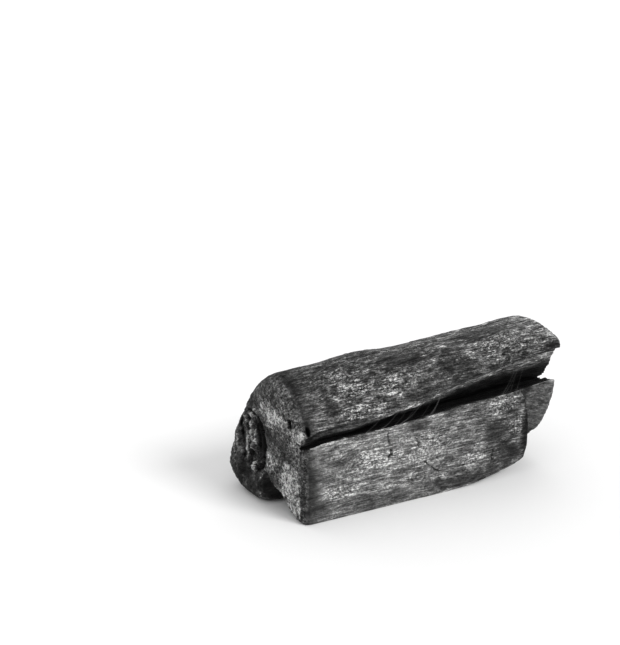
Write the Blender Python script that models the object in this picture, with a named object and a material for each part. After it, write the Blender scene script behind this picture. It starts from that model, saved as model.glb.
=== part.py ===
"""A lump of hardwood charcoal: one split length of charred branch, lying on its side.

The log lies along X, its resting faces on z = 0. Its -Y side carries the deep drying crack that
opens from a nick at the -X end to a wide mouth at the +X end. Below the crack is the outer shell
of the wood, a slab whose +X end has broken away from the heartwood behind it. All sizes in MM
below are millimetres, and outlines are given as (out, up): out is the distance towards -Y.
"""
import math

import bmesh
import bpy
from mathutils import Matrix, Vector

MM = 0.001

# Driving dimensions, millimetres.
NEAR_END = -65.8          # x of the near end at its front edge
END_SKEW = 0.150          # how far the near end leans out per mm towards the back
HEEL_REACH = 4.6          # how far the rear lobe's heel stands out past that leaning face
FAR_END = 90.0            # x of the far end
FRONT = 22.0              # how far out the shell's flat side stands
SHELL_END = 73.5          # x where the outer shell has broken off
RING_STEP = 6.5           # spacing of the log's rings along its length
SPAN_POINTS = 3           # ring points between two outline points

# Outlines of the whole log at four places along it, starting at the foot of the shell and going
# up the front, over the crown, down the back and under. Every outline has the same points.
LOG_OUTLINES = {
    -66.0: [(20.5, -0.6), (22.0, 6.0), (22.0, 26.0), (22.0, 45.0), (19.0, 54.0), (13.5, 61.5),
            (5.0, 68.5), (-5.0, 73.5), (-15.0, 73.5), (-24.0, 68.0), (-32.0, 58.0), (-40.0, 45.0),
            (-46.5, 32.0), (-49.5, 19.5), (-47.0, 9.0), (-38.0, 1.5), (-27.0, -0.9),
            (-16.0, -0.6), (-8.0, 3.0), (-1.0, 8.6), (5.0, 7.4), (10.5, 1.0)],
    -10.0: [(20.5, -0.6), (22.0, 6.0), (22.6, 26.0), (22.2, 47.0), (21.6, 59.0), (17.5, 68.0),
            (9.5, 74.6), (-2.0, 77.9), (-12.5, 77.4), (-22.5, 72.6), (-32.0, 62.0), (-40.5, 48.0),
            (-47.0, 33.0), (-50.0, 20.0), (-47.0, 8.5), (-38.0, 1.2), (-27.0, -0.9),
            (-16.0, -0.6), (-8.0, 3.5), (-1.5, 9.5), (5.5, 8.0), (11.0, 1.0)],
    40.0: [(19.0, -0.5), (22.4, 6.0), (23.2, 26.0), (22.6, 50.0), (24.0, 67.0), (21.0, 75.5),
           (12.5, 79.6), (0.5, 80.7), (-11.0, 79.2), (-21.5, 74.2), (-31.0, 64.5), (-40.0, 50.0),
           (-46.0, 34.0), (-48.5, 20.0), (-45.5, 8.0), (-37.0, 1.2), (-26.5, -0.9),
           (-16.5, -0.6), (-9.0, 3.5), (-2.0, 9.0), (4.5, 8.0), (10.0, 2.0)],
    92.0: [(14.0, 6.0), (23.5, 14.0), (24.6, 28.0), (24.4, 52.0), (27.0, 73.0), (26.0, 79.8),
           (15.5, 82.6), (3.0, 83.6), (-10.0, 82.4), (-21.0, 77.2), (-30.0, 67.0), (-38.5, 52.0),
           (-44.0, 36.0), (-46.0, 22.0), (-43.0, 9.5), (-35.5, 2.5), (-26.0, 0.2),
           (-17.0, 0.4), (-10.0, 3.5), (-3.0, 8.5), (3.0, 9.5), (8.5, 7.5)],
}
# How round each of those points is at the near end and at the far end, as the length over which
# the outline draws in.
NEAR_ROUNDING = [3.2, 3.2, 3.2, 3.4, 4.4, 5.8, 8.0, 9.5, 9.5, 8.5, 7.0, 6.0, 6.0, 6.5, 7.0,
                 7.0, 6.5, 6.5, 6.5, 5.0, 4.0, 4.0]
FAR_ROUNDING = [5.0, 5.0, 4.0, 3.5, 2.5, 2.5, 2.8, 3.2, 4.0, 6.0, 8.0, 8.0, 8.0, 9.0, 10.0, 11.0,
                11.0, 10.0, 8.0, 6.0, 5.0, 5.0]
ROUNDING_STEPS = 6
CAP_SCALES = (0.82, 0.62, 0.40, 0.18)
HEART = (-20.0, 34.0)     # (out, up) of the pith, which the ends draw in towards

# Heartwood behind the shell: only its lower front wall shows, past the shell's broken end.
HEARTWOOD_OUTLINE = [(27.0, 58.0), (23.6, 51.0), (20.6, 42.0), (16.0, 31.5), (10.0, 22.0),
                     (3.0, 14.0), (-5.0, 6.5), (-14.0, -1.5), (-30.0, -4.0), (-48.0, 4.0),
                     (-54.0, 24.0), (-48.0, 48.0), (-30.0, 66.0), (0.0, 72.0), (20.0, 68.0)]
HEARTWOOD_SPAN = (16.0, 104.0)
HEARTWOOD_LEAN = 0.19     # how far its wall falls back per mm from the far end towards the shell

# Side view of the wood that broke away with the end of the shell: (x, up).
BREAK_OUTLINE = [(62.0, 58.5), (63.6, 54.0), (67.2, 51.4), (70.4, 46.8), (72.4, 40.0),
                 (SHELL_END, 29.0), (73.2, 18.0), (71.6, 10.5), (67.0, 6.0), (57.0, 3.4),
                 (42.0, 1.4), (24.0, -0.2), (24.0, -6.0), (108.0, -6.0), (108.0, 58.5)]
BREAK_REACH = (-13.0, 42.0)

# The drying crack: x, height of its lower lip, height of its upper lip, depth in from the side.
CRACK_STATIONS = [(-84.0, 43.6, 44.8, 8.0), (-66.0, 44.4, 48.0, 8.5), (-57.0, 45.6, 51.6, 11.0),
                  (-37.0, 46.4, 52.8, 15.0), (-10.0, 47.2, 56.6, 18.0), (17.0, 49.2, 62.6, 19.0),
                  (45.0, 51.0, 67.8, 19.0), (67.0, 52.2, 73.0, 18.0), (88.0, 54.4, 74.6, 16.0),
                  (106.0, 56.0, 76.0, 15.5)]
CRACK_RING_STEP = 7.0
CRACK_DROP = 5.2          # how far the crack's root lies below its lower lip
CRACK_OUTSIDE = 30.0      # how far the cutter stands out past the side
CRACK_WAVE = 0.9          # unevenness of the crack's walls

# The eaten-out heart in the near end: a shallow dish and the ring shake along its front side.
DISH_CENTRE = (-30.0, 29.5)
DISH_RADII = (11.5, 13.0, 18.5)
DISH_DEPTH = 5.5
SHAKE_ARC = [(-25.5, 50.0), (-20.5, 45.0), (-17.6, 37.0), (-17.4, 28.5), (-21.0, 20.0),
             (-28.0, 14.5)]
SHAKE_WIDTH = 2.5
SHAKE_DEPTH = 12.0

# The cleft between the foot of the shell and the rear lobe, deepest at the near end:
# x, then (out, up) of its root.
CLEFT_STATIONS = [(-92.0, -12.5, 19.5), (-66.0, -12.0, 19.0), (-54.0, -8.0, 14.5),
                  (-36.0, -3.0, 9.0)]
CLEFT_FEET = (12.0, -9.0)

# Narrow drying checks in the back and the crown: x from, x to, (out, up) of the middle of the
# mouth, half width of the mouth, depth.
CHECKS = [
    (-38.0, 52.0, (-40.0, 49.0), 1.5, 8.0),
    (18.0, 99.0, (-49.0, 24.0), 1.7, 10.0),
    (-80.0, -26.0, (-47.5, 13.0), 1.3, 7.0),
    (30.0, 99.0, (-15.0, 83.0), 1.0, 7.0),
]
CHECK_RINGS = 9

CHAR_COLOUR = (0.075, 0.075, 0.077, 1.0)
CHAR_ROUGHNESS = 0.62


def clear_scene():
    for item in list(bpy.data.objects):
        bpy.data.objects.remove(item, do_unlink=True)


def new_collection(name):
    collection = bpy.data.collections.new(name)
    bpy.context.scene.collection.children.link(collection)
    return collection


def place(out, up):
    """The (y, z) of a point given as out and up."""
    return -out, up


def curve_between(before, start, end, after, t):
    """Catmull-Rom value at t between start and end."""
    linear = end - before
    square = 2.0 * before - 5.0 * start + 4.0 * end - after
    cube = 3.0 * (start - end) + after - before
    return 0.5 * (2.0 * start + linear * t + square * t * t + cube * t ** 3)


def smooth_loop(points, span_points):
    """A closed outline through the points, with span_points steps from each to the next."""
    loop = []
    count = len(points)
    for index in range(count):
        around = [points[(index + shift) % count] for shift in (-1, 0, 1, 2)]
        for step in range(span_points):
            t = step / span_points
            loop.append(tuple(curve_between(*[p[axis] for p in around], t) for axis in (0, 1)))
    return loop


def at_station(stations, x):
    """Rows of numbers given at several x, read between them on a smooth curve."""
    places = sorted(stations)
    x = min(max(x, places[0]), places[-1])
    index = max(i for i, start in enumerate(places[:-1]) if start <= x)
    t = (x - places[index]) / (places[index + 1] - places[index])
    rows = [stations[places[min(max(index + shift, 0), len(places) - 1)]]
            for shift in (-1, 0, 1, 2)]
    return [curve_between(*values, t) for values in zip(*rows)]


def log_outline(x):
    flat = {place_x: [n for point in outline for n in point]
            for place_x, outline in LOG_OUTLINES.items()}
    numbers = at_station(flat, x)
    return list(zip(numbers[0::2], numbers[1::2]))


def drawn_in(outline, rounding, distance):
    """The outline as the rounded end pulls it in, at this distance from the end."""
    pulled = []
    for (out, up), radius in zip(outline, rounding):
        inset = 0.0
        if distance < radius:
            inset = radius * (1.0 - math.sqrt(1.0 - (1.0 - distance / radius) ** 2))
        across = Vector((HEART[0] - out, HEART[1] - up))
        step = across.normalized() * inset
        pulled.append((out + step.x, up + step.y))
    return pulled


def knotty(x, angle):
    """Slow swellings along and around the branch, in millimetres."""
    return (0.55 * math.sin(x * 0.071 + 2.0 * angle + 0.6)
            + 0.40 * math.sin(x * 0.123 - 3.0 * angle + 2.1)
            + 0.25 * math.sin(x * 0.190 + 5.0 * angle + 4.0))


def swollen(loop, x):
    """The loop with the branch's slow swellings, kept off its resting side."""
    grown = []
    for out, up in loop:
        across = Vector((out - HEART[0], up - HEART[1]))
        angle = math.atan2(across.y, across.x)
        height = min(1.0, max(0.0, up / 14.0))
        push = across.normalized() * knotty(x, angle) * height
        grown.append((out + push.x, up + push.y))
    return grown


def bridge_rings(rings, name, fan=True):
    """A closed mesh object through rings of equal count, capped at both ends: with a fan round
    a centre point, or with one flat face where the outline is hollow."""
    mesh = bmesh.new()
    rows = [[mesh.verts.new(Vector(point) * MM) for point in ring] for ring in rings]
    count = len(rings[0])
    for row, following in zip(rows, rows[1:]):
        for index in range(count):
            after = (index + 1) % count
            mesh.faces.new((row[index], row[after], following[after], following[index]))
    for row in (rows[0], rows[-1]):
        if not fan:
            mesh.faces.new(row)
            continue
        middle = sum((vert.co for vert in row), Vector()) / count
        centre = mesh.verts.new(middle)
        for index in range(count):
            mesh.faces.new((row[index], row[(index + 1) % count], centre))
    bmesh.ops.recalc_face_normals(mesh, faces=mesh.faces)
    data = bpy.data.meshes.new(name)
    mesh.to_mesh(data)
    mesh.free()
    return bpy.data.objects.new(name, data)


def end_x(out, up, far):
    """The x of an end's face at this point of it."""
    if far:
        return FAR_END
    behind = min(1.0, max(0.0, -out / 14.0))
    low = min(1.0, max(0.0, (24.0 - up) / 14.0))
    return NEAR_END - (FRONT - out) * END_SKEW - HEEL_REACH * behind * low


def cap_rings(outline, far):
    """Rings that close an end: the outline shrunk towards the heart, a little domed."""
    rings = []
    for scale in CAP_SCALES:
        dome = (1.0 - scale) * (1.0 if far else 1.6)
        ring = []
        for out, up in outline:
            out = HEART[0] + (out - HEART[0]) * scale
            up = HEART[1] + (up - HEART[1]) * scale
            x = end_x(out, up, far) + (dome if far else -dome)
            ring.append((x, *place(out, up)))
        rings.append(ring)
    return rings


def log_ring(x, rounding, distance, far):
    """One ring of the log; near an end it leans with the end's face and draws in."""
    loop = swollen(smooth_loop(drawn_in(log_outline(x), rounding, distance), SPAN_POINTS), x)
    lean_left = max(0.0, 1.0 - distance / 40.0)
    ring = []
    for out, up in loop:
        lean = (end_x(out, up, far) - end_x(FRONT, up, far)) * lean_left
        ring.append((x + lean, *place(out, up)))
    return ring, loop


def make_log():
    near_depth = max(NEAR_ROUNDING)
    far_depth = max(FAR_ROUNDING)
    near_steps = [near_depth * (step / ROUNDING_STEPS) ** 2 for step in range(ROUNDING_STEPS + 1)]
    far_steps = [far_depth * (step / ROUNDING_STEPS) ** 2 for step in range(ROUNDING_STEPS + 1)]
    first_x = NEAR_END + near_depth
    last_x = FAR_END - far_depth
    between = round((last_x - first_x) / RING_STEP)

    rings = []
    near_loop = None
    for distance in near_steps:
        ring, loop = log_ring(NEAR_END + distance, NEAR_ROUNDING, distance, False)
        near_loop = near_loop or loop
        rings.append(ring)
    for step in range(1, between):
        x = first_x + (last_x - first_x) * step / between
        ring, _ = log_ring(x, NEAR_ROUNDING, x - NEAR_END, False)
        rings.append(ring)
    far_loop = None
    for distance in reversed(far_steps):
        ring, far_loop = log_ring(FAR_END - distance, FAR_ROUNDING, distance, True)
        rings.append(ring)
    near_cap = list(reversed(cap_rings(near_loop, False)))
    return bridge_rings(near_cap + rings + cap_rings(far_loop, True), "charcoal_lump")


def make_heartwood():
    loop = smooth_loop(HEARTWOOD_OUTLINE, 4)
    start, stop = HEARTWOOD_SPAN
    count = round((stop - start) / RING_STEP)
    rings = []
    for step in range(count + 1):
        x = start + (stop - start) * step / count
        back = min(6.0, (FAR_END - x) * HEARTWOOD_LEAN)
        rings.append([(x, *place(out - back, up)) for out, up in swollen(loop, x)])
    return bridge_rings(rings, "heartwood")


def make_break():
    start, stop = BREAK_REACH
    outline = BREAK_OUTLINE
    rings = [[(x, *place(out, up)) for x, up in outline] for out in (start, stop)]
    return bridge_rings(rings, "shell_break", fan=False)


def make_crack():
    stations = {row[0]: row[1:] for row in CRACK_STATIONS}
    first, last = CRACK_STATIONS[0][0], CRACK_STATIONS[-1][0]
    count = round((last - first) / CRACK_RING_STEP)
    rings = []
    for step in range(count + 1):
        x = first + (last - first) * step / count
        low, high, depth = at_station(stations, x)
        root = (FRONT - depth, low - CRACK_DROP * min(1.0, depth / 15.0))
        gape = high - low
        ring = [(FRONT + CRACK_OUTSIDE, low + 0.10 * CRACK_OUTSIDE),
                (FRONT + 0.2, low)]
        for share in (0.33, 0.66):
            wave = CRACK_WAVE * share * math.sin(x * 0.17 + 5.0 * share)
            ring.append((FRONT + (root[0] - FRONT) * share, low + (root[1] - low) * share + wave))
        ring.append((root[0], root[1] - 0.15))
        ring.append((root[0] - 0.3, root[1] + 0.35))
        for share, rise in ((0.66, 0.22), (0.33, 0.50), (0.12, 0.78)):
            wave = CRACK_WAVE * share * math.sin(x * 0.13 + 7.0 * share + 1.0)
            ring.append((FRONT + (root[0] - FRONT) * share, root[1] + (high - root[1]) * rise + wave))
        ring.append((FRONT + 0.04 * gape, high))
        ring.append((FRONT + CRACK_OUTSIDE, high + 0.12 * CRACK_OUTSIDE))
        rings.append([(x, *place(out, up)) for out, up in ring])
    return bridge_rings(rings, "drying_crack")


def make_dish():
    bpy.ops.mesh.primitive_uv_sphere_add(segments=20, ring_count=12, radius=1.0)
    dish = bpy.context.object
    dish.name = "heart_dish"
    out, up = DISH_CENTRE
    x = end_x(out, up, False) - DISH_RADII[0] + DISH_DEPTH
    dish.data.transform(Matrix.Diagonal((*[radius * MM for radius in DISH_RADII], 1.0)))
    dish.location = Vector((x, *place(out, up))) * MM
    return dish


def make_shake():
    """The slot that follows a growth ring along the front side of the heart."""
    rings = []
    last = len(SHAKE_ARC) - 1
    for index, point in enumerate(SHAKE_ARC):
        before = Vector(SHAKE_ARC[max(index - 1, 0)])
        after = Vector(SHAKE_ARC[min(index + 1, last)])
        along = (after - before).normalized()
        across = Vector((along.y, -along.x))
        fullness = 0.25 + 0.75 * math.sin(math.pi * index / last)
        mouth = across * SHAKE_WIDTH * 0.5 * (0.5 + 0.5 * fullness)
        root = mouth * 0.35
        x = end_x(*point, False)
        outside = x - DISH_RADII[0]
        inside = x + SHAKE_DEPTH * fullness
        corners = ((outside, mouth), (outside, -mouth), (inside, -root), (inside, root))
        rings.append([(at, *place(point[0] + side.x, point[1] + side.y)) for at, side in corners])
    return bridge_rings(rings, "ring_shake")


def make_cleft():
    rings = []
    for x, root_out, root_up in CLEFT_STATIONS:
        front, back = CLEFT_FEET
        ring = ((front, -1.0), (root_out + 0.8, root_up), (root_out - 0.8, root_up - 0.6),
                (back, -1.0), (back, -4.0), (front, -4.0))
        rings.append([(x, *place(out, up)) for out, up in ring])
    return bridge_rings(rings, "foot_cleft")


def make_check(number, start, stop, mouth_point, half_width, depth):
    """A narrow V that follows the log's surface and points at the pith."""
    rings = []
    for step in range(CHECK_RINGS):
        t = step / (CHECK_RINGS - 1)
        x = start + (stop - start) * t
        loop = swollen(smooth_loop(log_outline(x), SPAN_POINTS), x)
        surface = Vector(min(loop, key=lambda point: math.dist(point, mouth_point)))
        inward = (Vector(HEART) - surface).normalized()
        across = Vector((inward.y, -inward.x))
        fullness = max(0.12, min(1.0, 4.0 * t, 4.0 * (1.0 - t)))
        wander = across * 0.9 * math.sin(x * 0.11 + number)
        outer = surface - inward * 4.0 + wander
        spread = across * half_width * fullness * (depth + 4.0) / depth
        root = surface + inward * depth * fullness + wander
        corners = (outer + spread, root + across * 0.2, root - across * 0.2, outer - spread)
        rings.append([(x, *place(corner.x, corner.y)) for corner in corners])
    return bridge_rings(rings, f"drying_check_{number}")


def make_floor_cut():
    bpy.ops.mesh.primitive_cube_add(size=1.0)
    slab = bpy.context.object
    slab.name = "floor_cut"
    slab.data.transform(Matrix.Diagonal((0.4, 0.3, 0.04, 1.0)))
    slab.location = (0.0, 0.0, -0.02)
    return slab


def move_to(item, collection):
    for home in list(item.users_collection):
        home.objects.unlink(item)
    collection.objects.link(item)


def use_as_cutter(item, collection):
    move_to(item, collection)
    item.hide_render = True
    item.display_type = "WIRE"


def cut(target, cutter):
    boolean = target.modifiers.new(f"minus_{cutter.name}", "BOOLEAN")
    boolean.operation = "DIFFERENCE"
    boolean.solver = "EXACT"
    boolean.object = cutter


def char_material():
    material = bpy.data.materials.new("charred_hardwood")
    material.use_nodes = True
    shader = material.node_tree.nodes["Principled BSDF"]
    shader.inputs["Base Color"].default_value = CHAR_COLOUR
    shader.inputs["Roughness"].default_value = CHAR_ROUGHNESS
    shader.inputs["Metallic"].default_value = 0.0
    return material


def stand_on_origin(lump, cutters):
    """Moves lump and cutters so that the lump's box stands on the origin at its middle."""
    bpy.context.view_layer.update()
    box = lump.evaluated_get(bpy.context.evaluated_depsgraph_get())
    corners = [Vector(corner) for corner in box.bound_box]
    low = Vector([min(corner[axis] for corner in corners) for axis in range(3)])
    high = Vector([max(corner[axis] for corner in corners) for axis in range(3)])
    shift = Vector((-(low.x + high.x) / 2, -(low.y + high.y) / 2, -low.z))
    for item in [lump, *cutters]:
        item.location += shift


def build():
    clear_scene()
    parts = new_collection("charcoal lump")
    cutter_home = new_collection("cutters")

    lump = make_log()
    lump.data.materials.append(char_material())
    move_to(lump, parts)

    heartwood = make_heartwood()
    shell_break = make_break()
    cutters = [shell_break, make_crack(), make_cleft(), make_dish(), make_shake()]
    cutters += [make_check(number, *row) for number, row in enumerate(CHECKS, 1)]
    cutters.append(make_floor_cut())
    for cutter in [heartwood, *cutters]:
        use_as_cutter(cutter, cutter_home)

    cut(shell_break, heartwood)
    for cutter in cutters:
        cut(lump, cutter)
    lump.data.shade_smooth()
    lump.data.set_sharp_from_angle(angle=math.radians(35.0))
    stand_on_origin(lump, [heartwood, *cutters])


build()
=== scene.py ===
import math
from itertools import product

import bmesh
import bpy
import numpy as np
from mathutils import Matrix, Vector


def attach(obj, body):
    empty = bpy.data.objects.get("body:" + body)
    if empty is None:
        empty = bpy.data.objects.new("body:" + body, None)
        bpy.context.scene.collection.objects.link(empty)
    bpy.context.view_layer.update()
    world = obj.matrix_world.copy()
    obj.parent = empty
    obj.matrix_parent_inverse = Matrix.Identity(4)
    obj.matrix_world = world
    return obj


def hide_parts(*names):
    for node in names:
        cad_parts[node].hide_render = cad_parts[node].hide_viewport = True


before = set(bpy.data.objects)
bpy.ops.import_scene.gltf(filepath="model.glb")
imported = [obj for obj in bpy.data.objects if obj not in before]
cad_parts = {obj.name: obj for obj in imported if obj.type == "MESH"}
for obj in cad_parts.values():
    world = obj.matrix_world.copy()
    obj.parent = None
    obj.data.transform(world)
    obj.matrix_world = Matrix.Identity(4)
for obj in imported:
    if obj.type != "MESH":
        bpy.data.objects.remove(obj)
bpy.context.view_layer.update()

# ---------------------------------------------------------------------------------------------
# The viewer's place. The lump lies on its side with the drying crack towards the viewer, seen
# from a little above and from beyond its hollow end.
# ---------------------------------------------------------------------------------------------
EYE = (-0.3757, -0.6277, 0.3579)
LOOKED_AT = (-0.0368, 0.0282, 0.0883)
LENS_MM = 79.8
SENSOR_MM = 36.0


def in_scene(name, data):
    """A new object in the scene that holds this lens, mesh or lamp."""
    thing = bpy.data.objects.new(name, data)
    bpy.context.scene.collection.objects.link(thing)
    return thing


lens = bpy.data.cameras.new("viewer")
lens.lens = LENS_MM
lens.sensor_width = SENSOR_MM
lens.clip_start = 0.01
viewer = in_scene("viewer", lens)
viewer.location = EYE
viewer.rotation_euler = (Vector(LOOKED_AT) - Vector(EYE)).to_track_quat("-Z", "Y").to_euler()
bpy.context.scene.camera = viewer

# ---------------------------------------------------------------------------------------------
# The charred log. A length of hardwood branch, charred whole: the wood shrank, opened along its
# grain in one deep crack and shed part of its outer shell. Its skin is grain, cross checks, thin
# layers half come away, and an end that is torn across the fibres round an eaten-out heart.
# ---------------------------------------------------------------------------------------------
# All lengths are millimetres, along the log (x), across it (y) and up (z).
MM = 0.001
SKIN_CELL = 0.50          # size of the skin's facets before it is thinned
SKIN_FACETS = 190_000     # triangles left after thinning
FRONT = -33.8             # y of the shell's flat side
SHELL_END = 67.8          # x where the shell has broken off
NEAR_X = -60.0            # the near end's torn face lies before this x
FAR_X = 78.0              # and the far end's face beyond this one
# The crack: x, height of its lower lip, height of its upper lip, depth of its root.
CRACK = np.array([(-89.7, 43.6, 44.8, 8.0), (-71.7, 44.4, 48.0, 8.5), (-62.7, 45.6, 51.6, 11.0),
                  (-42.7, 46.4, 52.8, 15.0), (-15.7, 47.2, 56.6, 18.0), (11.3, 49.2, 62.6, 19.0),
                  (39.3, 51.0, 67.8, 19.0), (61.3, 52.2, 73.0, 18.0), (82.3, 54.4, 74.6, 16.0)])
WALL_FALL = 5.2           # how far the crack's lower wall falls from its lip to its root
HEART = (14.0, 31.5)      # (y, z) of the eaten heart in the near end
HEART_RADII = (12.5, 17.5)
PAGES = (25.0, 27.0)      # (y, z) of the close-set leaves on the heart's far side
PAGES_RADII = (9.0, 12.5)
PITH = (6.0, 38.0)        # (y, z) of the middle of the growth rings in the far end


def ease(start, stop, value):
    """0 before start, 1 after stop, and a smooth step between them."""
    t = np.clip((value - start) / (stop - start), 0.0, 1.0)
    return t * t * (3.0 - 2.0 * t)


def lumps(points, sizes, seed, layers=1, fade=0.55):
    """A smooth uneven field between about -1 and 1, whose lumps have the given sizes."""
    rng = np.random.default_rng(seed)
    order = rng.permutation(256)
    slopes = rng.normal(size=(256, 3))
    slopes /= np.linalg.norm(slopes, axis=1)[:, None]
    spot = points / np.array(sizes)
    total = np.zeros(len(points))
    strength = 1.7
    for _ in range(layers):
        cell = np.floor(spot).astype(np.int64)
        inside = spot - cell
        mixed = inside ** 3 * (inside * (inside * 6.0 - 15.0) + 10.0)
        for corner in product((0, 1), repeat=3):
            key = order[(cell[:, 0] + corner[0]) % 256]
            key = order[(key + cell[:, 1] + corner[1]) % 256]
            key = order[(key + cell[:, 2] + corner[2]) % 256]
            pull = np.einsum("ij,ij->i", slopes[key], inside - corner)
            share = np.prod(np.where(corner, mixed, 1.0 - mixed), axis=1)
            total += strength * pull * share
        strength *= fade
        spot = spot * 2.03 + 17.3
    return total


def near(points, centre, radii):
    """1 at the centre, falling smoothly to 0 at the ellipsoid with these radii."""
    apart = np.linalg.norm((points - np.array(centre)) / np.array(radii), axis=1)
    return 1.0 - ease(0.0, 1.0, apart)


def skin_of(node):
    """The CAD solid's surface as one even skin of small facets."""
    solid = bmesh.new()
    solid.from_mesh(node.data)
    bmesh.ops.remove_doubles(solid, verts=solid.verts, dist=1e-6)
    mesh = bpy.data.meshes.new("charred_log")
    solid.to_mesh(mesh)
    solid.free()
    skin = in_scene("charred_log", mesh)
    remesh = skin.modifiers.new("even_skin", "REMESH")
    remesh.mode = "VOXEL"
    remesh.voxel_size = SKIN_CELL * MM
    soften = skin.modifiers.new("soften", "SMOOTH")
    soften.factor = 0.5
    soften.iterations = 3
    return skin


def settle(piece):
    """Replaces a piece's mesh with the one its modifiers make."""
    ready = piece.evaluated_get(bpy.context.evaluated_depsgraph_get())
    mesh = bpy.data.meshes.new_from_object(ready)
    piece.modifiers.clear()
    piece.data = mesh


def places_and_normals(mesh):
    """Each point of the mesh in millimetres, and the way that the skin faces there."""
    spots = np.empty(len(mesh.vertices) * 3, np.float32)
    mesh.vertices.foreach_get("co", spots)
    normals = np.empty(len(mesh.vertices) * 3, np.float32)
    mesh.vertex_normals.foreach_get("vector", normals)
    return spots.reshape(-1, 3).astype(float) / MM, normals.reshape(-1, 3).astype(float)


log = skin_of(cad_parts["charcoal_lump"])
settle(log)
spots, normals = places_and_normals(log.data)
x, y, z = spots.T

# Where each part of the skin is: the cross-cut ends, the crack's walls, the shell's flat side.
endness = ease(0.45, 0.85, np.abs(normals[:, 0]))
end_reach = ease(0.30, 0.52, np.abs(normals[:, 0]))
near_end = endness * (x < NEAR_X)
far_end = endness * (x > FAR_X)
low_lip, high_lip, root = (np.interp(x, CRACK[:, 0], CRACK[:, i]) for i in (1, 2, 3))
inward = y - FRONT
lower_wall_at = low_lip - 1.2 - WALL_FALL * inward / root
between = (z > lower_wall_at) & (z < high_lip + 0.8) & (inward > 0.6) & (inward < root + 3.0)
in_crack = between * (1.0 - near_end) * (1.0 - far_end)
crack_depth = in_crack * np.clip(inward / root, 0.0, 1.0)
upper_wall = in_crack * ease(0.05, 0.35, -normals[:, 2])
side = (1.0 - endness) * (1.0 - in_crack)
slab = side * ease(2.0, -2.0, y + 24.0) * (z < low_lip + 1.0) * (x < SHELL_END + 0.6)
upper_lobe = side * (z > low_lip) * ease(0.0, 0.3, -normals[:, 1])
crown = side * ease(0.55, 0.9, normals[:, 2])

# Grain: long shallow ridges with finer ones on them, deeper on the crack's torn walls.
ridges = lumps(spots, (34.0, 2.6, 2.6), 2, 3, 0.6)
fine_grain = lumps(spots, (13.0, 0.95, 0.95), 3, 2)
dents = lumps(spots, (34.0, 12.0, 12.0), 1, 2)
relief = (1.0 - endness) * ((0.25 - 0.13 * crown) * dents + 0.18 * ridges + 0.14 * fine_grain)
relief += in_crack * (0.40 * ridges + 0.25 * fine_grain)

# Thin outer layers that have come away in patches, which leaves low steps.
layer_left = ease(-0.02, 0.08, lumps(spots, (21.0, 6.5, 6.5), 4, 3, 0.55))
relief += side * 0.26 * (layer_left - 0.5)

# Small pits, drawn out along the grain.
pits = ease(0.50, 0.72, lumps(spots, (3.2, 1.3, 1.3), 5, 1))
relief -= side * 0.40 * pits

# The near end: torn fibre ends, and the eaten heart with its thin curved leaves.
torn = lumps(spots, (5.0, 1.7, 1.7), 6, 3, 0.6)
lobes = lumps(spots, (9.0, 6.0, 6.0), 7, 2)
relief += near_end * (0.35 * torn + 0.40 * lobes)
ring = np.hypot((y - HEART[0]) / HEART_RADII[0], (z - HEART[1]) / HEART_RADII[1])
ring += 0.07 * lumps(spots, (6.0, 6.0, 6.0), 8, 2)
turn = np.arctan2((z - HEART[1]) / HEART_RADII[1], -(y - HEART[0]) / HEART_RADII[0])
end_zone = ease(0.30, 0.60, np.abs(normals[:, 0])) * (x < NEAR_X)
in_heart = end_zone * (1.0 - ease(0.95, 1.12, ring))
splinters = lumps(spots, (3.0, 1.3, 6.0), 10, 2)
relief += in_heart * (0.8 * splinters - 0.6)
# Curved leaves that stand up in the heart, and the ring shakes between them. Each is an arc round
# the heart with its radius and width (1 is the heart's own radius), its middle and half length
# (radians) and its height, which is negative for a shake.
ARCS = [(0.90, 0.15, 0.05, 1.25, -5.5), (0.97, 0.05, 1.35, 0.75, -2.0), (0.80, 0.07, 3.0, 1.2, -3.0),
        (0.50, 0.07, 3.1, 1.1, -2.6), (1.14, 0.04, 2.7, 0.8, -1.6), (0.20, 0.12, 0.4, 1.6, -2.8),
        (0.65, 0.085, 3.0, 1.2, 3.2), (0.33, 0.09, 3.2, 1.0, 3.0), (0.97, 0.06, 2.9, 1.1, 2.0),
        (0.66, 0.07, 0.25, 0.55, 2.4), (0.81, 0.09, -1.05, 0.75, 2.8), (0.92, 0.07, 1.9, 0.6, 1.4)]
leaves = np.zeros(len(x))
shakes = np.zeros(len(x))
for radius, width, middle, reach, height in ARCS:
    away = np.abs(np.angle(np.exp(1j * (turn - middle))))
    arc = abs(height) * np.exp(-((ring - radius) / width) ** 2) * (1.0 - ease(0.6 * reach, reach, away))
    if height > 0.0:
        leaves = np.maximum(leaves, arc)
    else:
        shakes = np.maximum(shakes, arc)
relief += end_zone * (leaves - shakes)
# On the heart's far side the leaves stand close together, like the edges of thin curved pages.
from_pages = np.hypot((y - PAGES[0]) / PAGES_RADII[0], (z - PAGES[1]) / PAGES_RADII[1])
beside = (1.0 - ease(0.65, 1.1, from_pages)) * (x < NEAR_X)
bowed = y + 0.030 * (z - PAGES[1]) ** 2 + 0.9 * lumps(spots, (6.0, 5.0, 9.0), 15, 2)
pages = np.sin(bowed * 1.75) * (0.8 + 0.6 * splinters)
relief += 0.7 * beside * pages
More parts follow.
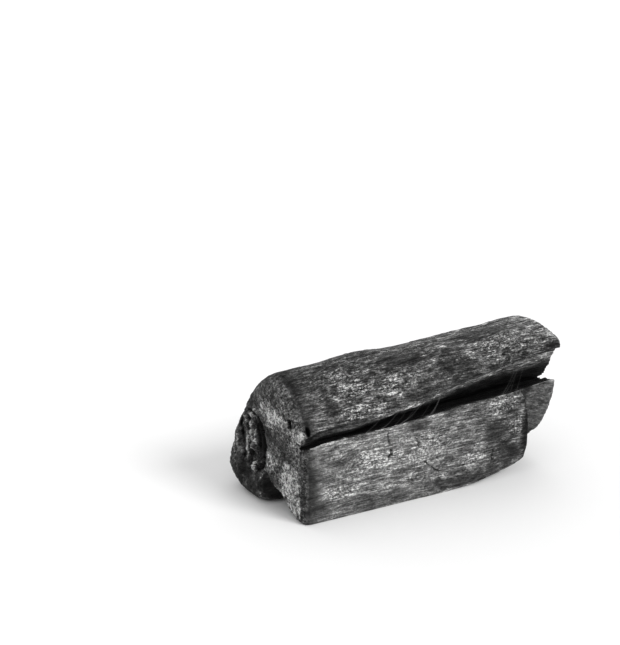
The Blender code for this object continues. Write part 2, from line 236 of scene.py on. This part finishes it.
# The far end is cut across: faint growth rings round the pith, and short shakes out from it.
year = np.hypot(y - PITH[0], 0.9 * (z - PITH[1])) + 1.4 * lumps(spots, (12.0, 9.0, 9.0), 22, 2)
year_rings = np.sin(year * 2.1) * (0.6 + 0.6 * lumps(spots, (8.0, 8.0, 8.0), 23, 1))
ray_left = ease(0.0, 0.5, lumps(spots, (5.0, 5.0, 5.0), 24, 1))
rays = np.sin(23.0 * np.arctan2(z - PITH[1], y - PITH[0]) + 2.0 * lobes) ** 8 * ray_left
relief += far_end * (0.25 * torn + 0.20 * year_rings - 0.55 * rays)
# Two holes eaten into the near end above the crack's tip, each with its middle and its radii.
HOLES = [((-74.0, -19.5, 53.5), (12.0, 3.2, 4.2)), ((-68.8, -32.0, 53.0), (2.1, 7.0, 4.2))]
holes = np.zeros(len(x))
for middle, radii in HOLES:
    holes = np.maximum(holes, ease(0.15, 0.6, near(spots, middle, radii)))
relief -= 2.4 * holes
# The crack's thin tip runs on into the near end.
tip_line = np.exp(-((z - 44.3 - 0.10 * (y + 34.0)) / 0.45) ** 2)
tip = end_reach * ease(-22.0, -28.0, y) * tip_line * (x < NEAR_X)
relief -= 1.0 * tip

# Cross checks: short cracks across the grain. Each has its middle, its half height, its lean
# (mm along the log for each mm up), its width and its depth.
CROSS_CHECKS = [((-22.0, -34.0, 41.0), 5.0, -0.05, 0.45, 0.55), ((-21.0, -34.0, 31.5), 3.5, 0.25, 0.7, 1.0),
                ((-4.5, -35.0, 35.0), 3.6, -0.4, 0.5, 0.8), ((5.0, -34.0, 18.5), 5.5, -1.1, 0.38, 0.9),
                ((44.0, -35.0, 17.0), 5.0, 0.1, 0.9, 0.5), ((12.0, -35.0, 27.0), 5.0, 1.2, 0.4, 0.5),
                ((-48.0, -34.0, 24.0), 4.0, 0.2, 0.3, 0.3), ((-20.0, 24.0, 66.0), 7.0, 0.3, 0.4, 0.7),
                ((35.0, 34.0, 44.0), 8.0, -0.2, 0.4, 0.7), ((-45.0, 36.0, 30.0), 6.0, 0.1, 0.4, 0.7)]
jag = 0.8 * lumps(spots, (3.0, 2.2, 2.2), 11, 2)
checks = np.zeros(len(x))
for middle, half, lean, width, depth in CROSS_CHECKS:
    up = z - middle[2]
    along = x - middle[0] - lean * up + jag
    fade_out = 1.0 - ease(0.55 * half, half, np.abs(up))
    close = 1.0 - ease(9.0, 14.0, np.abs(y - middle[1]))
    checks = np.maximum(checks, depth * close * fade_out * np.exp(-(along / width) ** 2))
relief -= side * checks
# One hairline across the shell is packed with ash.
ash_line = np.exp(-((x + 23.0 - 0.12 * (z - 10.0) + jag) / 0.30) ** 2)
ash_line *= 1.0 - ease(5.0, 9.0, np.abs(z - 12.0))

# Knots: the grain bends round each in arcs of low ridges. Each has its middle, and how far its
# arcs reach along the log and up.
KNOTS = [((22.0, -35.0, 9.0), 18.0, 9.0), ((-3.0, -34.0, 14.0), 6.0, 5.0), ((50.0, -26.0, 80.0), 10.0, 6.0),
         ((5.0, 30.0, 60.0), 12.0, 8.0)]
swirl = np.zeros(len(x))
for middle, long, high in KNOTS:
    apart = np.hypot((x - middle[0]) / long, (z - middle[2]) / high)
    round_knot = (1.0 - ease(0.9, 1.25, apart)) * (np.abs(y - middle[1]) < 9.0)
    swirl += round_knot * np.sin(apart * 15.0 + 0.8 * lumps(spots, (8.0, 4.0, 4.0), 12, 1))
relief += side * 0.25 * swirl

# Torn fibres hang along the crack's upper lip and fray the shell's broken corner.
hanging = ease(-34.0, -14.0, x) * (1.0 - ease(12.0, 28.0, x))
below_lip = crack_depth - 0.12 * ease(50.0, 66.0, x) - 0.05 * hanging
lip_band = upper_wall * (1.0 - ease(0.10, 0.26, below_lip))
lip_band *= ease(-40.0, -10.0, x)
strand_field = lumps(spots - np.outer(x, (0.0, 0.02, 0.30)), (20.0, 1.1, 1.1), 13, 2, 0.7)
relief += lip_band * 0.35 * strand_field
frayed = slab * near(spots, (55.0, -35.0, 40.0), (13.0, 9.0, 15.0))
relief += frayed * 0.25 * lumps(spots, (4.0, 1.3, 1.3), 14, 3, 0.7)
# The shell's broken edge stays crisp, and the skin that lies on the table stays flat.
broken_edge = 1.0 - ease(1.5, 4.0, np.abs(x - SHELL_END) + 4.0 * (y > -24.0))
relief *= 1.0 - 0.7 * broken_edge
resting = 1.0 - ease(0.2, 2.5, z)
moved = spots + normals * (relief * (1.0 - resting))[:, None]
moved[:, 2] = np.maximum(moved[:, 2], 0.0)
log.data.vertices.foreach_set("co", (moved * MM).astype(np.float32).ravel())
log.data.update()

# Rubbed ash and dull soot lie in patches with ragged edges. Each patch has its middle, its radii and its
# strength; ash is lighter and speckled, soot darker and smoother. The dark patches low along the shell's
# foot by the table are painted shade.
ASH = [((-50.0, -34.0, 16.0), (15.0, 12.0, 5.5), 0.9), ((-32.0, -34.0, 29.0), (22.0, 12.0, 11.0), 0.9),
       ((3.0, -35.0, 35.0), (17.0, 12.0, 9.0), 0.8), ((-6.0, -35.0, 26.0), (34.0, 12.0, 10.0), 0.6),
       ((32.0, -35.0, 19.0), (14.0, 12.0, 8.0), 0.9), ((51.0, -35.0, 47.0), (18.0, 12.0, 7.0), 1.0),
       ((59.0, -35.0, 33.0), (9.0, 12.0, 10.0), 1.0), ((-16.0, -34.0, 12.0), (16.0, 12.0, 8.0), 0.5),
       ((-37.0, -26.0, 68.0), (14.0, 12.0, 7.0), 0.8), ((-18.0, -29.0, 68.0), (14.0, 12.0, 8.0), 0.75),
       ((-5.0, -30.0, 71.0), (10.0, 12.0, 6.0), 0.7), ((-42.0, -16.0, 74.0), (15.0, 12.0, 5.0), 0.6),
       ((-36.0, -32.0, 58.0), (26.0, 12.0, 6.0), 0.7), ((58.0, -27.0, 81.0), (14.0, 12.0, 5.0), 0.35),
       ((44.0, -28.0, 78.0), (16.0, 12.0, 5.0), 0.4), ((12.0, -30.0, 68.0), (20.0, 12.0, 5.0), 0.5),
       ((-20.0, 28.0, 60.0), (40.0, 16.0, 12.0), 0.7), ((40.0, 30.0, 50.0), (30.0, 16.0, 16.0), 0.7),
       ((-50.0, 34.0, 30.0), (24.0, 14.0, 13.0), 0.7)]
END_ASH = [((-76.0, 4.0, 54.6), (9.0, 9.0, 6.0), 0.9), ((-75.0, -8.4, 51.9), (9.0, 11.0, 9.0), 1.0),
           ((-73.0, -26.0, 48.0), (9.0, 10.0, 9.0), 1.0), ((-73.0, -20.0, 18.0), (9.0, 16.0, 24.0), 1.15),
           ((-71.0, -24.0, 9.0), (10.0, 11.0, 14.0), 1.1),
           ((-77.0, -5.0, 27.4), (9.0, 9.0, 9.0), 1.0), ((-79.0, 8.4, 20.5), (9.0, 10.0, 5.0), 1.0),
           ((-80.0, 14.5, 46.6), (9.0, 6.0, 8.0), 0.8), ((-82.0, 23.5, 25.0), (9.0, 4.0, 12.0), 0.8),
           ((-82.0, 30.0, 24.0), (9.0, 4.0, 10.0), 0.4), ((84.0, 0.0, 60.0), (9.0, 30.0, 14.0), 0.5)]
SOOT_AND_SHADE = [((68.0, -35.0, 52.0), (5.0, 12.0, 6.0), 0.8), ((-68.5, -33.0, 22.0), (6.5, 14.0, 26.0), 1.0),
        ((46.0, -35.0, 30.0), (12.0, 12.0, 10.0), 0.9), ((-54.0, -26.0, 61.5), (6.0, 12.0, 7.0), 0.9),
        ((-72.0, -10.0, 69.0), (9.0, 24.0, 15.0), 0.9), ((-71.0, -28.0, 58.0), (7.0, 12.0, 9.0), 0.8),
        ((-5.0, -19.0, 77.0), (30.0, 10.0, 6.0), 0.8), ((45.0, -14.0, 82.0), (34.0, 12.0, 7.0), 0.7),
        ((-3.0, -35.0, 45.0), (13.0, 12.0, 4.0), 0.8), ((-49.0, -34.0, 31.0), (13.0, 12.0, 6.0), 0.6),
        ((-54.0, -34.0, 9.0), (12.0, 12.0, 5.0), 0.6), ((-64.0, -34.0, 7.0), (12.0, 12.0, 10.0), 0.9),
        ((-30.0, -34.0, 5.0), (44.0, 12.0, 7.0), 0.6), ((24.0, -34.0, 6.0), (44.0, 12.0, 7.0), 0.8),
        ((54.0, -35.0, 17.0), (13.0, 12.0, 10.0), 0.8), ((20.0, -26.0, 73.0), (24.0, 12.0, 4.0), 0.6),
        ((SHELL_END - 1.0, -35.0, 26.0), (3.2, 12.0, 28.0), 1.0),
        ((10.0, 34.0, 26.0), (36.0, 14.0, 14.0), 0.7)]
# On the near end the dark patches in the heart's hollow, low down by the table and on the rear lobe are
# painted shade; the others are soot.
END_SOOT_AND_SHADE = [((-77.0, 7.0, 44.5), (14.0, 6.5, 6.0), 1.0), ((-77.0, 9.0, 32.0), (14.0, 5.0, 9.0), 0.8),
            ((-77.0, -3.9, 40.4), (9.0, 8.0, 8.0), 0.7), ((-75.0, -16.0, 38.0), (9.0, 8.0, 10.0), 0.65),
            ((-79.0, 4.0, 10.0), (12.0, 14.0, 10.0), 1.0), ((-80.0, 17.4, 57.0), (9.0, 12.0, 12.0), 0.7),
            ((-82.0, 22.0, 8.0), (12.0, 16.0, 11.0), 1.0), ((-77.0, -2.0, 68.0), (9.0, 20.0, 6.0), 0.3),
            ((-83.0, 34.0, 22.0), (12.0, 6.0, 26.0), 0.7), ((-66.0, -6.0, 6.0), (22.0, 12.0, 14.0), 1.0),
            ((-81.0, 30.0, 44.0), (12.0, 10.0, 16.0), 0.6), ((-79.0, 14.0, 8.0), (12.0, 18.0, 12.0), 1.1)]
blots = lumps(spots, (9.0, 4.5, 4.5), 17, 3, 0.6)
ragged = spots + np.stack([3.5 * lumps(spots, (10.0, 5.0, 5.0), seed, 2) for seed in (18, 19, 20)], axis=1)


def spread(patches):
    """How strongly the patches cover each point, with ragged edges."""
    cover = np.zeros(len(x))
    for middle, radii, strength in patches:
        edge = near(ragged, middle, radii) + 0.22 * blots
        cover = np.maximum(cover, strength * ease(0.12, 0.62, edge))
    return cover


dust = np.maximum(spread(ASH) * (1.0 - near_end), spread(END_ASH) * end_reach)
soot_and_shade = np.maximum(spread(SOOT_AND_SHADE) * (1.0 - end_reach), spread(END_SOOT_AND_SHADE)) * (1.0 - 0.8 * beside)
loose_ash = ease(0.25, 0.75, lumps(spots, (16.0, 7.0, 7.0), 21, 2))
dust = np.maximum(dust, 0.45 * loose_ash * side * (1.0 - soot_and_shade))
# The near end's front edge is painted as a plain dark band.
in_front = ease(-28.9, -30.1, y) * (1.0 - ease(-67.5, -64.5, x)) * ease(47.0, 44.0, z)
dust *= 1.0 - in_front
# Painted shade: the skin is darkened where its relief sinks more than 0.4 mm, and along the shakes round
# the heart.
hollow = np.clip(-(relief + 0.4) / 1.6, 0.0, 1.0) * (1.0 - in_heart)
hollow += end_zone * ease(0.6, 2.0, shakes)

# How light the char is painted: at 0 it is plain char, and e to this power is how many times lighter.
# Besides the char's own tones it carries painted shade and painted highlights, marked where they are added.
light = slab * np.interp(x, (-60.0, 0.0, 55.0), (0.90, 0.68, 0.34))
light += upper_lobe * (1.0 - crown) * np.interp(x, (-60.0, -20.0, 0.0, 70.0), (0.28, -0.08, -0.42, -0.28))
light += crown * np.interp(x, (-30.0, 20.0, 60.0), (-0.28, -0.08, 0.54))
# Painted shade: the sides that are neither the flat shell, the upper lobe nor the crown, which face away
# and down, are painted darker.
light -= 0.55 * (side - slab) * (1.0 - upper_lobe) * (1.0 - crown)
light += 0.9 * slab * ash_line
# The dark band on the near end's front edge; its extra darkening on the rounding that turns towards the
# near end is painted shade.
light -= in_front * (0.55 + 0.6 * ease(0.1, 0.4, -normals[:, 0]) * (1.0 - near_end))
# A thin painted highlight runs down the near end just inside its front edge.
light += 0.45 * end_reach * (x < NEAR_X) * np.exp(-((y + 28.2) / 0.6) ** 2) * ease(46.0, 40.0, z)
light -= 0.7 * (1.0 - end_reach) * (1.0 - ease(-69.0, -61.0, x)) * ease(46.0, 50.0, z)
# Ash lightens and soot darkens; where the dark patches are painted shade, so is this darkening.
light += 0.70 * dust * (1.0 + 1.0 * end_reach) - 1.1 * soot_and_shade + 0.35 * blots + 0.12 * ridges
light += near_end * (0.10 + 0.38 * torn + 0.18 * ease(44.0, 52.0, z))
# Painted shade in the hollows, the cross checks, the crack's thin tip and the two holes.
light -= 1.6 * np.clip(hollow, 0.0, 1.0) + 2.2 * checks + 2.0 * tip + 2.6 * holes
# Painted shade darkens the middle of the eaten heart; the close-set pages go lighter and darker with their
# ridges.
light += 1.1 * beside * pages - 1.3 * near(spots, (-74.0, 8.5, 38.0), (22.0, 7.5, 15.0))
# Painted shade in the far end's short shakes; its growth rings and torn ends vary in tone.
light += far_end * (0.30 * torn + 0.40 * year_rings - 1.5 * rays)
# The raised leaves are lighter; painted shade darkens the shakes and the sunken heart.
light += end_zone * (0.85 * leaves - 0.6 * np.clip(shakes, 0.0, 3.0)) + in_heart * (0.6 * splinters - 0.7)
light -= 1.6 * slab * ease(SHELL_END - 4.6, SHELL_END - 2.4, x + 1.6 * blots)
# Painted highlights: a thin light line along the top of the shell under the crack's lower lip, and another
# just above its upper lip, fading out towards the far end.
light += 0.70 * slab * ease(low_lip - 1.5, low_lip - 0.5, z) * (1.0 - ease(-10.0, 30.0, x))
light += 0.70 * upper_lobe * (1.0 - ease(high_lip + 0.4, high_lip + 1.5, z)) * (1.0 - ease(-20.0, 30.0, x))
light -= 0.22 * ease(20.0, 50.0, x) * side
heartwood = side * (y < -20.0) * (x > SHELL_END) * (z < low_lip)
light += 1.12 * heartwood + 0.28 * slab * swirl
# The crack is painted black inside, darker the deeper it goes: partly the char's own black and partly
# painted shade. The torn band under its upper lip stays lighter in the far half.
dark_from = 0.01 + upper_wall * (0.09 * ease(-30.0, 0.0, x) + 0.06 * hanging + 0.10 * ease(50.0, 66.0, x))
light -= 3.2 * ease(0.0, 0.22, crack_depth - dark_from)
light += 1.1 * upper_wall * near(spots, (80.0, -31.5, 71.0), (14.0, 6.0, 5.5))
light += lip_band * (0.40 + 0.35 * hanging + (1.2 + 0.6 * hanging) * strand_field) * ease(-34.0, -8.0, x)


def tell(mesh, name, values):
    """Stores one number for each point of the skin, for the finish to read."""
    mesh.attributes.new(name, "FLOAT", "POINT").data.foreach_set("value", values.astype(np.float32))


tell(log.data, "light", light)
tell(log.data, "dust", np.clip(dust, 0.0, 1.0))
smooth = 0.7 * soot_and_shade + ease(0.2, 0.5, crack_depth) + 0.7 * heartwood
smooth += 0.6 * side * (1.0 - ease(-66.0, -54.0, x))
tell(log.data, "plain", np.clip(smooth, 0.0, 1.0))
tell(log.data, "torn_end", end_reach * (1.0 - in_crack))
rough_skin = 0.30 - 0.30 * ease(-30.0, 0.0, x) + 0.45 * ease(20.0, 50.0, x)
rough_skin *= upper_lobe * (1.0 - crown)
rough_skin += 0.40 * crown - 0.40 * far_end + 0.08 * near_end
rough_skin += slab * np.interp(x, (-60.0, 0.0, 55.0), (-0.08, -0.14, 0.12))
tell(log.data, "contrast", 1.15 * (1.0 + rough_skin))

thin = log.modifiers.new("thin_out", "DECIMATE")
thin.ratio = min(1.0, SKIN_FACETS / (2.0 * len(log.data.polygons)))
settle(log)
log.data.shade_smooth()


class Wire:
    """One value in a finish. Python's own operators join it to others with Math nodes."""

    def __init__(self, finish, socket):
        self.finish = finish
        self.socket = socket

    def math(self, operation, *values):
        return self.finish.node("ShaderNodeMath", {"operation": operation}, dict(enumerate(values)))

    def __add__(self, other):
        return self.math("ADD", self, other)

    __radd__ = __add__

    def __sub__(self, other):
        return self.math("SUBTRACT", self, other)

    def __rsub__(self, other):
        return self.math("SUBTRACT", other, self)

    def __mul__(self, other):
        return self.math("MULTIPLY", self, other)

    __rmul__ = __mul__

    def eased(self, start, stop):
        """0 below start, 1 above stop, smooth between."""
        settings = {"interpolation_type": "SMOOTHSTEP"}
        values = {0: self, 1: start, 2: stop, 3: 0.0, 4: 1.0}
        return self.finish.node("ShaderNodeMapRange", settings, values)

    def exponent(self):
        """e to the power of this value."""
        return self.math("EXPONENT", self)


class Finish:
    """A material under way: node() adds any node, set() feeds the shader."""

    def __init__(self, name):
        self.material = bpy.data.materials.new(name)
        self.material.use_nodes = True
        self.tree = self.material.node_tree
        self.shader = self.tree.nodes["Principled BSDF"]

    def node(self, kind, settings, values, output=0):
        made = self.tree.nodes.new(kind)
        for key, value in settings.items():
            setattr(made, key, value)
        for key, value in values.items():
            self.feed(made.inputs[key], value)
        return Wire(self, made.outputs[output])

    def feed(self, socket, value):
        if isinstance(value, Wire):
            self.tree.links.new(value.socket, socket)
        else:
            socket.default_value = value

    def set(self, name, value):
        self.feed(self.shader.inputs[name], value)

    def told(self, name):
        """The number stored on the mesh under this name."""
        return self.node("ShaderNodeAttribute", {"attribute_name": name}, {}, output=2)

    def noise(self, place, scale, detail, roughness):
        """Uneven field of about 0 to 1; scale is lumps for each metre along, across and up."""
        scaled = self.node("ShaderNodeVectorMath", {"operation": "MULTIPLY"}, {0: place, 1: scale})
        values = {"Vector": scaled, "Scale": 1.0, "Detail": detail, "Roughness": roughness}
        return self.node("ShaderNodeTexNoise", {}, values)

    def grey(self, amount, black=(0.0, 0.0, 0.0), white=(1.0, 1.0, 0.99)):
        """A grey, amount of the way from black to white."""
        settings = {"data_type": "RGBA", "clamp_factor": True}
        values = {0: amount, 6: (*black, 1.0), 7: (*white, 1.0)}
        return self.node("ShaderNodeMix", settings, values, output=2)

    def between(self, amount, first, second):
        """A number, amount of the way from first to second."""
        settings = {"data_type": "FLOAT", "clamp_factor": True}
        return self.node("ShaderNodeMix", settings, {0: amount, 2: first, 3: second}, output=0)

    def bump(self, height, strength, distance):
        values = {"Height": height, "Strength": strength, "Distance": distance}
        return self.node("ShaderNodeBump", {}, values)


CHAR = 0.095              # lightness of plain char
CHAR_SHINE = 0.10         # dull: a sooty skin has hardly any gloss
GRAIN_RELIEF = 0.0018     # how far the finest grain stands out, in metres

char = Finish("charred_wood")
place = char.node("ShaderNodeTexCoord", {}, {}, output=3)
on_end = char.told("torn_end")
dusty = char.told("dust")
plainness = char.told("plain")
mottle = char.noise(place, (170.0, 330.0, 330.0), 6.0, 0.66) - 0.5
streaks = char.noise(place, (85.0, 1050.0, 1050.0), 5.0, 0.70) - 0.5
hairs = char.noise(place, (160.0, 1900.0, 1900.0), 3.0, 0.7) - 0.5
crumbs = char.noise(place, (700.0, 950.0, 950.0), 4.0, 0.75) - 0.5
strokes = char.noise(place, (1300.0, 240.0, 240.0), 3.0, 0.6)
end_grain = char.noise(place, (480.0, 720.0, 720.0), 5.0, 0.75) - 0.5
stains = char.noise(place, (62.0, 170.0, 170.0), 4.0, 0.6).eased(0.53, 0.60)

along_grain = streaks * 5.6 + hairs * 4.2 + mottle * 3.8
speckle = crumbs * 9.5 - strokes.eased(0.58, 0.70) * 0.8
end_pits = char.noise(place, (650.0, 800.0, 800.0), 2.0, 0.5).eased(0.60, 0.68)
across_grain = end_grain * 7.5 + crumbs * 3.5 + mottle * 3.5 - end_pits * 1.4 + 0.1
side_detail = along_grain * char.between(dusty, 0.90, 0.70) + speckle * char.between(dusty, 0.45, 1.0)
detail = char.between(on_end, side_detail, across_grain) * char.between(plainness, 1.0, 0.45)
specks = (crumbs + streaks * 0.6).eased(0.08, 0.20) * dusty
lightness = char.told("light") + detail * char.told("contrast") - stains * 0.55 + specks * 0.2
char.set("Base Color", char.grey(lightness.exponent() * CHAR))
char.set("Roughness", char.between(dusty, 0.50, 0.85) + plainness * 0.15)
bumps = streaks * 1.0 + hairs * 0.5 + crumbs * char.between(dusty, 0.6, 1.0) + end_grain * on_end
char.set("Normal", char.bump(bumps, 1.0, GRAIN_RELIEF))
char.set("Specular IOR Level", CHAR_SHINE)
log.data.materials.clear()
log.data.materials.append(char.material)
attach(log, "root")
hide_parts("charcoal_lump")

# ---------------------------------------------------------------------------------------------
# Fibres in the crack. Splinters of charred wood that stayed fast to both walls when the crack
# opened, and now lean across it. They grew with the log and are part of it.
# ---------------------------------------------------------------------------------------------
FIBRE_SIDES = 5
FIBRE_STEPS = 13
FIBRE_ROOTED = 0.5        # how far each end runs on into its wall
# Each fibre: x of its foot, x of its head, how deep in the crack each lies, its width and its bend.
FIBRES = [(-36.0, -24.0, 1.6, 2.6, 0.08, 0.5), (-27.0, -13.5, 1.0, 2.4, 0.11, 0.9),
          (-17.0, -8.5, 3.0, 1.2, 0.07, 0.4), (-15.5, 1.5, 1.2, 1.0, 0.13, 1.5),
          (-11.0, -1.5, 3.6, 2.4, 0.07, -0.6), (0.0, 7.5, 4.0, 2.2, 0.06, 0.5),
          (3.5, 12.5, 1.0, 1.5, 0.17, 1.3), (5.5, 12.4, 1.8, 1.7, 0.08, 0.9),
          (50.0, 61.5, 1.2, 1.4, 0.08, 0.6), (52.5, 63.5, 2.0, 1.4, 0.07, 0.5),
          (57.0, 61.5, 3.0, 2.2, 0.05, -0.4), (61.5, 66.0, 3.4, 2.5, 0.06, 0.4)]


def fibre_route(foot_x, head_x, foot_in, head_in, bend):
    """Points from the lower wall to the upper one, leaning along the log."""
    points = []
    for step in range(FIBRE_STEPS):
        t = step / (FIBRE_STEPS - 1)
        at = foot_x + (head_x - foot_x) * t ** 0.8
        low, high, depth = (np.interp(at, CRACK[:, 0], CRACK[:, i]) for i in (1, 2, 3))
        deep = foot_in + (head_in - foot_in) * t
        low_wall = low - WALL_FALL * deep / depth - FIBRE_ROOTED
        high_wall = high - (high - low + WALL_FALL) * (deep / depth) ** 0.9 + FIBRE_ROOTED
        sag = bend * (math.sin(math.pi * t) + 0.35 * math.sin(3.0 * math.pi * t + foot_x))
        height = low_wall + (high_wall - low_wall) * t - sag
        points.append(Vector((at, FRONT + deep + 0.5 * sag, height)))
    return points


def add_fibre(mesh, route, width):
    """A thin tapering strand along the route."""
    rings = []
    for step, point in enumerate(route):
        along = (route[min(step + 1, len(route) - 1)] - route[max(step - 1, 0)]).normalized()
        across = along.cross(Vector((0.0, 1.0, 0.0))).normalized()
        out = along.cross(across)
        t = step / (len(route) - 1)
        size = width * (0.55 + 0.45 * t + 2.2 * (1.0 - t) ** 5)
        ring = []
        for corner in range(FIBRE_SIDES):
            angle = 2.0 * math.pi * corner / FIBRE_SIDES
            offset = across * math.cos(angle) * size + out * math.sin(angle) * size * 0.6
            ring.append(mesh.verts.new((point + offset) * MM))
        rings.append(ring)
    for ring, following in zip(rings, rings[1:]):
        for corner in range(FIBRE_SIDES):
            after = (corner + 1) % FIBRE_SIDES
            mesh.faces.new((ring[corner], ring[after], following[after], following[corner]))
    mesh.faces.new(list(reversed(rings[0])))
    mesh.faces.new(rings[-1])


fibre_mesh = bmesh.new()
for foot_x, head_x, foot_in, head_in, width, bend in FIBRES:
    add_fibre(fibre_mesh, fibre_route(foot_x, head_x, foot_in, head_in, bend), width)
bmesh.ops.recalc_face_normals(fibre_mesh, faces=fibre_mesh.faces)
fibre_data = bpy.data.meshes.new("crack_fibres")
fibre_mesh.to_mesh(fibre_data)
fibre_mesh.free()
fibres = in_scene("crack_fibres", fibre_data)
fibre_data.shade_smooth()

FIBRE_DARK = (0.008, 0.008, 0.008)
FIBRE_LIGHT = (0.085, 0.085, 0.084)

thread = Finish("charred_fibre")
thread_place = thread.node("ShaderNodeTexCoord", {}, {}, output=3)
thread_tone = thread.noise(thread_place, (260.0, 900.0, 900.0), 3.0, 0.6)
thread.set("Base Color", thread.grey(thread_tone, FIBRE_DARK, FIBRE_LIGHT))
thread.set("Roughness", 0.7)
thread.set("Normal", thread.bump(thread_tone, 0.4, 0.0002))
fibre_data.materials.append(thread.material)
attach(fibres, "root")

# ---------------------------------------------------------------------------------------------
# The plain white table and the soft studio light: a large soft box high on the right of the
# viewer, a weak one on the left, one over the lump and behind it, and white light all round.
# ---------------------------------------------------------------------------------------------
TABLE_WIDTH = 8.0
WHITE = (1.0, 1.0, 1.0, 1.0)
ROOM_LIGHT = 0.69

bpy.ops.mesh.primitive_plane_add(size=TABLE_WIDTH, location=(0.0, 0.0, 0.0))
table = bpy.context.object
table.name = "table"
paper = Finish("white_table")
paper.set("Base Color", (0.80, 0.80, 0.80, 1.0))
paper.set("Roughness", 0.8)
table.data.materials.append(paper.material)

# Each lamp: where it shines from, how wide it looks in degrees, and its power.
LAMPS = [("key", (0.40, -0.72, 0.62), 24.0, 2.3), ("fill", (-0.85, -0.35, 0.55), 60.0, 0.35),
         ("top", (0.10, 0.62, 0.78), 70.0, 0.68)]
for name, spot, softness, power in LAMPS:
    lamp = bpy.data.lights.new(name, "SUN")
    lamp.angle = math.radians(softness)
    lamp.energy = power
    sun = in_scene(name, lamp)
    sun.location = spot
    sun.rotation_euler = Vector(spot).to_track_quat("Z", "Y").to_euler()

sky = bpy.data.worlds.new("white_room")
bpy.context.scene.world = sky
sky.use_nodes = True
sky.node_tree.nodes["Background"].inputs["Color"].default_value = WHITE
sky.node_tree.nodes["Background"].inputs["Strength"].default_value = ROOM_LIGHT
bpy.context.scene.view_settings.view_transform = "Standard"
